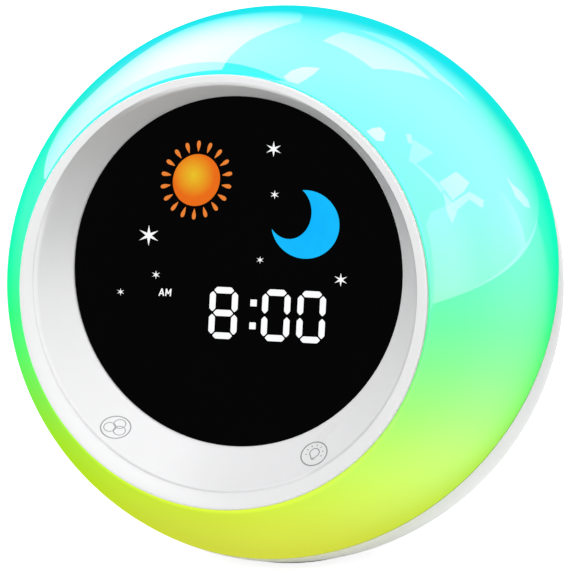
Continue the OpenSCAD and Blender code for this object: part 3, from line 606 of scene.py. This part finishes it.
hour_x, minutes_x, dots_x, dots_y, dot = -3.9, (11.0, 21.0), 4.57, 3.05, 0.9
lit_bars = [bar(hour_x, name) for name in bars]
lit_bars += [bar(x, name) for x in minutes_x for name in bars if name != "middle"]
lit_bars += [leaned(dots_x, eased([(-dot, y - dot), (dot, y - dot), (dot, y + dot), (-dot, y + dot)], 0.12))
             for y in (-dots_y, dots_y)]
star_wide, star_waist = 1.13, 0.14


def star(x, y, size):
    """Thin star of six points, a little wider than it is high."""
    return [(x + star_wide * reach * math.cos(turn), y + reach * math.sin(turn)) for reach, turn in
            (((size / 2, star_waist * size)[i % 2], math.radians(90 + 30 * i)) for i in range(12))]


# Place and height of each star
sky = [(9.3, 32.9, 4.2), (9.9, 20.8, 2.4), (-25.6, 8.5, 5.5), (-23.3, -1.9, 2.3), (6.2, 3.3, 2.0),
       (-33.3, -6.9, 2.0), (29.1, -1.0, 3.6)]

sun_x, sun_y, sun_r, sun_wide, sun_skew = -12.4, 23.8, 6.9, 0.97, 0.089


def drawn(points):
    """Points about the sun's middle, in the slightly skewed way that the sun is drawn."""
    return [(sun_x + sun_wide * x, sun_y + y + sun_skew * x) for x, y in points]


ray_count, ray_first, ray_from, ray_to, ray_w, ray_taper = 18, 87, 7.6, 10.5, 0.78, 0.25
drops = []
for i in range(ray_count):
    turn = math.radians(ray_first + 360 * i / ray_count)
    cos, sin = math.cos(turn), math.sin(turn)
    drop = []
    for t in full_turn(24):
        out = (1 - math.cos(t)) / 2
        along = ray_from + (ray_to - ray_from) * out
        side = ray_w * math.sin(t) * (ray_taper + (1 - ray_taper) * out)
        drop.append((along * cos - side * sin, along * sin + side * cos))
    drops.append(drawn(drop))

# The crescent is an ellipse with a bite taken out by another one: the middle and the half widths of each
moon_shape, bite_shape = np.array([[18.75, 13.26], [9.6, 9.09]]), np.array([[14.1, 16.4], [6.33, 7.2]])
around = np.radians(np.arange(0, 360, 1.5))
crescent = []
for shape, other, outside in ((moon_shape, bite_shape, True), (bite_shape, moon_shape, False)):
    edge_points = shape[0] + shape[1] * np.stack([np.cos(around), np.sin(around)], -1)
    reach = np.hypot(*((edge_points - other[0]) / other[1]).T)
    kept = reach > 1 if outside else reach < 1
    begin = int(np.flatnonzero(kept & ~np.roll(kept, 1))[0])
    run = np.roll(edge_points, -begin, axis=0)[:kept.sum()].tolist()
    crescent += run if outside else run[::-1]


def blended(tree, share, first, second):
    """One colour passing into another."""
    return add(tree, "Mix", {"Factor": share, 6: first, 7: second}, data_type="RGBA").outputs[2]


# Lit film: full colour in the middle of a mark's cell, a second one further out, and slight unevenness
lit_film, given, place = effect("lit_film", {
    "Inner Colour": (1, 1, 1, 1), "Outer Colour": (1, 1, 1, 1), "Middle X": 0.0, "Middle Y": 0.0,
    "Reach": 0.01})
away = [number(lit_film, "SUBTRACT", vector(lit_film, "DOT_PRODUCT", place, tuple(axis)), given[name])
        for axis, name in zip(face_axes, ("Middle X", "Middle Y"))]
away = add(lit_film, "CombineXYZ", {"X": away[0], "Y": away[1]}).outputs[0]
share = number(lit_film, "DIVIDE", vector(lit_film, "LENGTH", away), given["Reach"], use_clamp=True)
blend = blended(lit_film, share, given["Inner Colour"], given["Outer Colour"])
uneven = mapped(lit_film, noise(lit_film, place, 400), target=(0.94, 1.04))
put_out(lit_film, {"Emission Color": vector(lit_film, "SCALE", blend, uneven)})


def lit_mark(name, outlines, light, inner, outer, x=0.0, y=0.0, reach=1.0):
    """Mark on the lens in its lit film. The colour runs from inner to outer over the reach about (x, y)."""
    o = relief(name, outlines, on_lens, mark_low, mark_high)
    middle = in_face([x, y + window_up, lens_front])
    o.data.materials.append(finish(light, lit_film, {
        "Inner Colour": (*inner, 1), "Outer Colour": (*outer, 1), "Middle X": float(middle @ face_axes[0]),
        "Middle Y": float(middle @ face_axes[1]), "Reach": reach / 1000},
        Base_Color=(0.002, 0.002, 0.002, 1), Roughness=0.4, Specular_IOR_Level=0.02, Emission_Strength=1))
    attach(o, "clock_body")


white_light = (1, 1, 1), (0.97, 0.98, 1)
lit_mark("display_digits", lit_bars, "digit_light", *white_light, reach=30)
lit_mark("display_stars", [star(*s) for s in sky], "star_light", *white_light, reach=40)
lit_mark("sun_disc", [drawn(arc(0, 0, sun_r))], "sun_light", (0.82, 0.55, 0.02), (0.82, 0.15, 0.006),
         sun_x - 0.8, sun_y + 1.3, 0.88 * sun_r)
lit_mark("sun_rays", drops, "sun_ray_light", (0.8, 0.18, 0.016), (0.84, 0.23, 0.035), sun_x, sun_y, ray_to)
lit_mark("display_moon", [crescent], "moon_light", (0, 0.46, 1), (0.004, 0.5, 1), *moon_shape[0],
         moon_shape[1, 0])


def stem(a, b, wide):
    """Straight stroke between two places."""
    a, b = np.array(a, float), np.array(b, float)
    side = wide / 2 * np.array([a[1] - b[1], b[0] - a[0]]) / np.linalg.norm(b - a)
    return [tuple(p) for p in (a - side, b - side, b + side, a + side)]


day_x, day_y, day_h, day_stroke, day_lean = -22.3, -7.45, 1.95, 0.34, 0.1
a_wide, crossbar_y, crossbar_stroke, m_left, m_right = 1.3, 0.6, 0.28, 1.9, 3.2
m_middle = (m_left + m_right) / 2
letters = [stem((0, 0), (a_wide / 2, day_h), day_stroke), stem((a_wide / 2, day_h), (a_wide, 0), day_stroke),
           stem((0.25, crossbar_y), (1.05, crossbar_y), crossbar_stroke)]
letters += [stem((x, 0), (x, day_h), day_stroke) for x in (m_left, m_right)]
letters += [stem((x, day_h), (m_middle, crossbar_y), day_stroke) for x in (m_left, m_right)]
letters = [[(day_x + x + day_lean * y, day_y + y) for x, y in letter] for letter in letters]
lit_mark("morning_letters", letters, "letter_light", *white_light, reach=40)

# ---- Key prints: grey ink, pad printed on the dish over the two touch keys. One shows three small circles in
# a ring, and the other a bulb with rays in a ring. ----

ink_low, ink_high, print_w, print_h, dish_fall = 0.004, 0.02, 1.03, 0.82, 0.62


def on_slope(key_x, key_y):
    """Placing on the dish about a key: x across it and y up it, in millimetres."""
    middle = np.array([key_x, key_y])
    outward_way = middle / math.hypot(key_x, key_y)
    normal = np.append(-dish_fall * outward_way, 1)
    normal /= np.linalg.norm(normal)
    up = np.array([0, 1, 0]) - normal[1] * normal
    up /= np.linalg.norm(up)
    across = np.cross(up, normal)

    def place(x, y, height):
        flat = middle + np.outer(print_w * x, across[:2]) + np.outer(print_h * y, up[:2])
        return in_face(np.column_stack([flat, dish_depth(*flat.T) + height]))
    return place


def loop(x, y, radius, wide, first=0.0, last=360.0, count=72):
    """Line of this width round an arc: a closed ring, or an open band."""
    outer = arc(x, y, radius + wide / 2, first, last, count)
    inner = arc(x, y, radius - wide / 2, first, last, count)
    return (outer, inner) if last - first >= 360 else outer + inner[::-1]


rings = [loop(0, 0, 3.75, 0.36, count=120)]
rings += [loop(x, y, 1.5, 0.24) for x, y in ((-1.5, 0.1), (0.95, 1.15), (0.95, -1.15))]
bulb = [loop(0, 0, 4.1, 0.38, count=120), loop(0, 0.35, 1.5, 0.3, -50, 230),
        loop(0, -1.5, 0.5, 0.26, 200, 340, 16)]
bulb += [stem(a, b, 0.28) for a, b in (((-0.96, -0.8), (-0.62, -1.45)), ((0.96, -0.8), (0.62, -1.45)),
                                       ((-0.62, -1.5), (0.62, -1.5)), ((-0.45, -1.95), (0.45, -1.95)))]
bulb += [stem(*(arc(0, 0.35, radius, a, a, 1)[0] for radius in (2.35, 2.9)), 0.26)
         for a in range(-18, 199, 36)]
for name, x, y, shapes in (("colour_key_print", -31.5, -37.6, rings), ("light_key_print", 24.9, -41.9, bulb)):
    ink = relief(name, shapes, on_slope(x, y), ink_low, ink_high)
    ink.data.materials.append(plastic(name + "_ink", (0.27, 0.27, 0.28), clouds=0.08, gloss=0.4, grain=3000,
                                      texture=0.000002))
    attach(ink, "clock_body")

# ---- Behind the lens: black mask film, white light box with a cell for each mark, and the display's board
# with its surface lamps, clipped into the bezel's pocket. Two copper foil pads stuck behind the dish sense
# the touch. ----


def dress(m, *names):
    """Gives carried-over nodes their material."""
    for name in names:
        mesh = nodes[name].data
        mesh.materials.clear()
        mesh.materials.append(m)


# Worked metal: streaks left by the tool in the gloss and the surface, and a faint tarnish
worked, given, place = effect("worked_metal", {
    "Colour": (0.6, 0.6, 0.6, 1), "Tarnish": 0.06, "Gloss": 0.3, "Gloss Spread": 0.08, "Streaks": 900.0})
tarnish = noise(worked, place, 120, 4)
streak = noise(worked, vector(worked, "MULTIPLY", place, (1, 0.08, 1)), given["Streaks"], 3)
put_out(worked, {
    "Base Color": vector(worked, "SCALE", given["Colour"], spread(worked, tarnish, 1, given["Tarnish"])),
    "Roughness": spread(worked, streak, given["Gloss"], given["Gloss Spread"]), "Height": streak})


def metal(name, colour, tarnish, gloss, streaks, texture, gloss_spread=0.1):
    """Worked metal. Streaks is the scale of the tool's marks."""
    return finish(name, worked, {"Colour": (*colour, 1), "Tarnish": tarnish, "Gloss": gloss,
                                 "Gloss Spread": gloss_spread, "Streaks": streaks}, texture, Metallic=1)


# Printed board: tracks that show through the solder mask, and tinned pads in rows
printed, given, place = effect("printed_board", {
    "Mask": (0.01, 0.1, 0.05, 1), "Track": (0.03, 0.2, 0.1, 1), "Size": 1.0})
place = add(printed, "SeparateXYZ", {0: place}).outputs
flat = add(printed, "CombineXYZ", {"X": place["X"], "Y": place["Z"]}).outputs[0]
flat = vector(printed, "SCALE", flat, given["Size"])
track = number(printed, "MAXIMUM", *(
    add(printed, "TexBrick", {"Vector": flat, "Scale": size, "Mortar Size": 0.035, "Mortar Smooth": 0.2,
                              "Brick Width": wide, "Row Height": high}).outputs["Fac"]
    for size, wide, high in ((170, 0.9, 0.25), (95, 0.5, 0.8))))
dots = add(printed, "TexVoronoi", {"Vector": flat, "Scale": 260, "Randomness": 0.55}).outputs["Distance"]
area = mapped(printed, noise(printed, flat, 70), (0.5, 0.53))
pad = number(printed, "MULTIPLY", mapped(printed, dots, (0.2, 0.26), (1, 0)), area)
mask = blended(printed, track, given["Mask"], given["Track"])
put_out(printed, {
    "Base Color": blended(printed, pad, mask, (0.62, 0.61, 0.57, 1)),
    "Roughness": mapped(printed, pad, target=(0.32, 0.24)), "Metallic": pad,
    "Height": number(printed, "ADD", track, pad)})

white_plastic = plastic("reflector_white", (0.84, 0.84, 0.82), clouds=0.02, gloss=0.62, gloss_spread=0.06,
                        grain=1300)
green_board = finish("circuit_board", printed, {"Size": 1.0}, 0.00003)
lamp_plastic = plastic("led_package", (0.86, 0.74, 0.32), clouds=0.05, gloss=0.25, grain=2000,
                       texture=0.000003)
dress(white_plastic, "light_box")
dress(plastic("mask_film", (0.012, 0.012, 0.013), clouds=0.15, gloss=0.5, grain=2500, texture=0.000003),
      "icon_film")
dress(green_board, "display_board")
dress(lamp_plastic, "display_leds")
dress(metal("copper_foil", (0.72, 0.34, 0.17), tarnish=0.14, gloss=0.34, streaks=1400, texture=0.000008),
      "touch_pad_left", "touch_pad_right")

# ---- Inner frame: white moulding that carries the ring of night lights. Four pan-head screws hold it to the
# bezel, and the case's own four screws end in its posts. The white board clips under it. ----

zinc = metal("screw_steel", (0.22, 0.22, 0.23), tarnish=0.1, gloss=0.33, gloss_spread=0.09, streaks=2600,
             texture=0.000006)
dress(white_plastic, "inner_frame")
dress(finish("white_board", printed, {"Mask": (0.76, 0.77, 0.74, 1), "Track": (0.66, 0.68, 0.64, 1),
                                      "Size": 0.8}, 0.00003), "night_light_board")
dress(lamp_plastic, "night_light_leds")


def screw(where, profile, cross_r, cross_w, deep):
    """Screw turned about its own axis with the head outwards, and a cross sunk in the head's face. The
    profile is (radius, height) from the tip to the rim of that face."""
    around = full_turn(64)
    cos, sin = np.cos(around), np.sin(around)
    rows = [np.stack([r * cos, r * sin, 0 * cos + z], -1) for r, z in profile]
    rim, top = profile[-1]
    for r in np.linspace(rim, 0.03, 18)[1:]:
        x, y = r * cos, r * sin
        sunk = (np.minimum(abs(x), abs(y)) < cross_w / 2) & (r < cross_r)
        rows.append(np.stack([x, y, top - deep * sunk * (1 - 0.5 * r / cross_r)], -1))
    return skin("screw", [where(row) for row in rows], closed=False)


def screws(name, frames, profile, node, cross):
    """A set of like screws as one piece that stands for their node. Cross is its reach, width and depth."""
    o = joined(name, [screw(where, profile, *cross) for where in frames])
    o.data.materials.append(zinc)
    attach(o, "clock_body")
    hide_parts(node)


def turned_in(x, y):
    """Screw driven in from behind, along the face's axis."""
    return lambda row: in_face(row * [1, -1, -1] + [x, y, 0])


screws("frame_screw_set", [turned_in(x, y) for x, y in boss_places], [
    (0.4, -29), (1.5, -27.8), (1.5, -20), (2.7, -20), (2.7, -18.9), (2.45, -18.35), (2.0, -18)],
    "frame_screws", (1.5, 0.8, 1.1))

# ---- Rear shell, panel and battery door: white ABS with a fine spark-eroded texture, the ball's back half
# behind the sloping seam. The door hooks into slots along its outer edge and closes with a snap tongue. ----

skin_depth, flush_cosine = 0.0002, 0.97


def with_ball_skin(m):
    """Lets the moulding's outer skin follow the true ball under its texture."""
    tree = m.node_tree
    away = vector(tree, "SUBTRACT", add(tree, "TexCoord").outputs["Object"], tuple(ball_centre))
    out = vector(tree, "NORMALIZE", away)
    surface = add(tree, "NewGeometry").outputs["Normal"]
    on_skin = number(tree, "GREATER_THAN", vector(tree, "LENGTH", away), ball_r - skin_depth)
    flush = number(tree, "GREATER_THAN", vector(tree, "DOT_PRODUCT", out, surface), flush_cosine)
    share = number(tree, "MULTIPLY", on_skin, flush)
    mixed = add(tree, "Mix", {"Factor": share, 4: surface, 5: out}, data_type="VECTOR").outputs[1]
    tree.links.new(mixed, next(n for n in tree.nodes if n.type == "BUMP").inputs["Normal"])
    return m


dress(with_ball_skin(plastic("rear_abs", (0.8, 0.8, 0.81), clouds=0.012, gloss=0.46, grain=2200,
                             Specular_IOR_Level=0.4)), "rear_shell", "battery_door", "rear_panel")
dress(plastic("foot_rubber", (0.022, 0.022, 0.024), clouds=0.2, gloss=0.78, gloss_spread=0.08, grain=1500,
              texture=0.00003), "foot_pad")

# ---- Case screws: four long pan-head screws of plated steel, sunk in wells in the rear shell. They end in
# the inner frame's posts and clamp the whole case together. ----

case_x, case_y = 45, 20
screws("case_screw_set", [turned_in(x, y) for x in (-case_x, case_x) for y in (-case_y, case_y)], [
    (0.4, 2), (1.5, 3.2), (1.5, 30), (3.0, 30), (3.0, 31.3), (2.75, 32.0), (2.3, 32.4)],
    "case_screws", (1.7, 0.85, 1.4))

# ---- Battery bay: three round cells in plain sleeves with bare metal ends, plated contact plates, and a
# conical spring of round wire at each cell's flat end. ----


def placed_by(axes):
    """Function from millimetres along these axes, from the ball's centre, to row-frame metres."""
    return lambda points: np.asarray(points, float) @ np.array(axes) / 1000 + np.array(ball_centre)


bay_drop = math.radians(51)
in_bay = placed_by([[1, 0, 0], [0, -math.sin(bay_drop), -math.cos(bay_drop)],
                    [0, math.cos(bay_drop), -math.sin(bay_drop)]])
cell_pitch, cell_height, cell_back, cell_shoulder, plate_face = 11.5, 60.5, -18.4, 25.1, 26.1
cell_r, cell_sides = 5.25, 72


def in_cell(row, points):
    """Points along a cell's own axis, in its row of the bay. The middle cell lies the other way round."""
    way = -1 if row == 0 else 1
    return in_bay(np.asarray(points, float) * [way, way, 1] + [0, row * cell_pitch, cell_height])


def across_x(radius, x):
    around = full_turn(cell_sides)
    return np.stack([0 * around + x, radius * np.cos(around), radius * np.sin(around)], -1)


cell_profile = [(r, cell_back + x) for r, x in (
    (0.05, 0.05), (4.1, 0.05), (4.5, 0.3), (4.6, 0.3), (4.75, 0), (5.0, 0.05), (5.2, 0.25), (cell_r, 0.6))]
cell_profile += [(cell_r, x) for x in np.linspace(-12, 18, 4)]
cell_profile += [(r, cell_shoulder - x) for r, x in (
    (cell_r, 0.9), (5.15, 0.4), (4.7, 0.05), (4.2, 0), (4.1, 0.25), (2.3, 0.25), (1.9, 0))]
cell_profile += [(1.9, 25.9), (1.75, 26.08), (0.05, plate_face)]
cells = joined("sleeved_cells", [
    skin("cell", [in_cell(row, across_x(r, x)) for r, x in cell_profile], closed=False)
    for row in (-1, 0, 1)])
nickel = metal("plated_contact", (0.46, 0.45, 0.43), tarnish=0.07, gloss=0.2, gloss_spread=0.07, streaks=1800,
               texture=0.000005)
for name, colour, clouds in (("cell_wrap", (0.03, 0.13, 0.07), 0.05), ("cell_band", (0.62, 0.63, 0.6), 0.04)):
    cells.data.materials.append(plastic(name, colour, clouds, gloss=0.2, grain=500))
cells.data.materials.append(nickel)
first_wrapped, band_row, last_wrapped = 3, 10, 15
faces_per_cell = (len(cell_profile) - 1) * cell_sides + 2
for i, face in enumerate(cells.data.polygons):
    step = i % faces_per_cell // cell_sides
    face.material_index = 1 if step == band_row else 0 if first_wrapped <= step <= last_wrapped else 2
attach(cells, "clock_body")
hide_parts("battery_cells")

wire_r, coil_turns, coil_flat, coil_wide, coil_narrow = 0.3, 5, 0.25, 3.4, 2.0
coil_length = plate_face + cell_back
sides = full_turn(12)
springs = []
for row in (-1, 0, 1):
    rings = []
    for turn in np.linspace(0, coil_turns, 40 * coil_turns + 1):
        lift = min(max(turn - coil_flat, 0), coil_turns - 2 * coil_flat) / (coil_turns - 2 * coil_flat)
        reach = coil_wide + (coil_narrow - coil_wide) * turn / coil_turns + wire_r * np.cos(sides)
        along = -plate_face + wire_r + (coil_length - 2 * wire_r) * lift + wire_r * np.sin(sides)
        angle = 2 * math.pi * turn
        rings.append(in_cell(row, np.stack([along, reach * math.cos(angle), reach * math.sin(angle)], -1)))
    springs.append(skin("spring", rings, closed=False))
springs = joined("cell_springs", springs)
springs.data.materials.append(nickel)
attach(springs, "clock_body")
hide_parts("battery_springs")
dress(nickel, "battery_contacts")

# ---- Rear panel: a flat white disc with the speaker's holes, the power socket and the buttons, held by four
# countersunk screws. The speaker is glued behind it on a foam ring. ----

in_back = placed_by([[-1, 0, 0], [0, 0, 1], [0, 1, 0]])
panel_screw_r = 31.5
panel_places = [(panel_screw_r * math.cos(a), panel_screw_r * math.sin(a))
                for a in np.radians([0, 180, 220, 320])]
screws("panel_screw_set", [lambda row, x=x, y=y: in_back(row + [x, y, 0]) for x, y in panel_places], [
    (0.35, 58.7), (1.25, 59.7), (1.25, 64.15), (2.4, 65.1), (2.35, 65.15)], "panel_screws", (1.35, 0.7, 0.9))
dress(plastic("foam_black", (0.012, 0.012, 0.013), clouds=0.3, gloss=0.95, gloss_spread=0.04, grain=2400,
              texture=0.0001), "speaker_gasket")
dress(plastic("cone_paper", (0.02, 0.02, 0.022), clouds=0.25, gloss=0.75, gloss_spread=0.1, grain=1100,
              texture=0.00004), "speaker_cone")
dress(metal("basket_steel", (0.3, 0.3, 0.32), tarnish=0.1, gloss=0.38, streaks=700, texture=0.000008),
      "speaker_basket")
dress(metal("magnet_steel", (0.42, 0.42, 0.44), tarnish=0.12, gloss=0.32, streaks=1200, texture=0.000006),
      "speaker_magnet")

# ---- Push buttons: five satin grey caps with a rounded edge and a slightly hollow top, each with a printed
# sign, on black plungers over a row of switches. ----

button_r, button_arc, cap_top, cap_edge, hollow = 4.0, 27, 66.8, 0.9, 0.15
flange_r, flange_low, flange_high = 5.2, 61.9, 63.0
cap_profile = [(0.05, 0, flange_low), (flange_r, 0, flange_low), (flange_r, 0, flange_high),
               (button_r, 0, flange_high), (button_r, 0, cap_top - 1.0)]
cap_profile += bend((button_r, 0, cap_top - cap_edge), (button_r, 0, cap_top),
                    (button_r - cap_edge, 0, cap_top), 8)


def cap_height(radius):
    return cap_top - hollow * (1 - np.clip(radius / (button_r - cap_edge), 0, 1) ** 2)


cap_profile += [(r, 0, cap_height(r)) for r in np.linspace(2.9, 0.05, 8)]
satin_grey = plastic("button_grey", (0.42, 0.44, 0.48), clouds=0.03, gloss=0.42, grain=2000, texture=0.000008)
sign_ink = plastic("button_sign_ink", (0.05, 0.05, 0.055), clouds=0.05, gloss=0.4, grain=3000,
                   texture=0.000002)
line, sign_low, sign_high = 0.34, 0.005, 0.03
signs = {
    "time": [loop(0, 0, 1.75, line), stem((0, -0.1), (0, 1.15), line), stem((-0.1, 0), (0.85, 0), line)],
    "alarm": [[(-1.75, -1.15), (-1.2, -0.5), (-1.15, 0.35), (-0.75, 1.15), (-0.25, 1.45), (0, 1.8),
               (0.25, 1.45), (0.75, 1.15), (1.15, 0.35), (1.2, -0.5), (1.75, -1.15)],
              arc(0, -1.35, 0.42, 180, 360, 12)],
    "nap": [stem((-1.7, 1.5), (0.1, 1.5), line), stem((0.05, 1.5), (-1.65, -0.4), line),
            stem((-1.7, -0.4), (0.1, -0.4), line), stem((0.5, 0.4), (1.7, 0.4), 0.3),
            stem((1.65, 0.4), (0.55, -1.2), 0.3), stem((0.5, -1.2), (1.7, -1.2), 0.3)],
    "minus": [stem((-1.6, 0), (1.6, 0), 0.5)],
    "plus": [stem((-1.6, 0), (1.6, 0), 0.5), stem((0, 0.25), (0, 1.6), 0.5),
             stem((0, -0.25), (0, -1.6), 0.5)],
}
for (name, shapes), turn in zip(signs.items(), np.radians([150, 120, 90, 60, 30])):
    x, y = button_arc * math.cos(turn), button_arc * math.sin(turn)
    cap = skin(name + "_cap", [in_back(level_ring(r, z)[::3] + [x, y, 0]) for r, _, z in cap_profile],
               closed=False)
    cap.data.materials.append(satin_grey)
    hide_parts(name + "_button")
    sign = relief(name + "_sign", shapes, lambda a, b, height, x=x, y=y: in_back(
        np.stack([a + x, b + y, cap_height(np.hypot(a, b)) + height], -1)), sign_low, sign_high)
    sign.data.materials.append(sign_ink)
    for o in (cap, sign):
        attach(o, name + "_key")

# ---- Inside the back: switches, boards, chips and the power socket, joined to the display's board by a grey
# flat cable with a marked edge and a natural nylon plug at each end. ----

# Flat cable: parallel cores as ribs, the first of them marked red
cored, given, place = effect("cored_cable", {
    "Sleeve": (0.3, 0.31, 0.33, 1), "Marked": (0.45, 0.04, 0.03, 1), "Pitch": 0.001, "Edge": -0.005})
across = add(cored, "SeparateXYZ", {0: place}).outputs["X"]
step = number(cored, "DIVIDE", across, given["Pitch"])
wave = number(cored, "COSINE", number(cored, "MULTIPLY", step, 2 * math.pi))
marked = number(cored, "LESS_THAN", across, given["Edge"])
blend = blended(cored, marked, given["Sleeve"], given["Marked"])
cloud = mapped(cored, noise(cored, place, 200, 3), target=(0.9, 1.1))
put_out(cored, {"Base Color": vector(cored, "SCALE", blend, cloud),
                "Roughness": mapped(cored, wave, (-1, 1), (0.55, 0.42)), "Height": wave})

dress(plastic("black_nylon", (0.014, 0.014, 0.015), clouds=0.1, gloss=0.5, gloss_spread=0.06, grain=1800),
      "board_chips", *(name + "_plunger" for name in signs))
dress(plastic("switch_case", (0.035, 0.035, 0.038), clouds=0.08, gloss=0.42, gloss_spread=0.06, grain=1400),
      "switch_housings")
dress(green_board, "button_board", "main_board")
dress(zinc, "board_screws", "usb_socket")
dress(finish("ribbon_grey", cored, {"Pitch": 0.001}, 0.0002), "ribbon_cable")
dress(plastic("plug_nylon", (0.76, 0.71, 0.58), clouds=0.04, gloss=0.38, grain=1200), "cable_plugs")
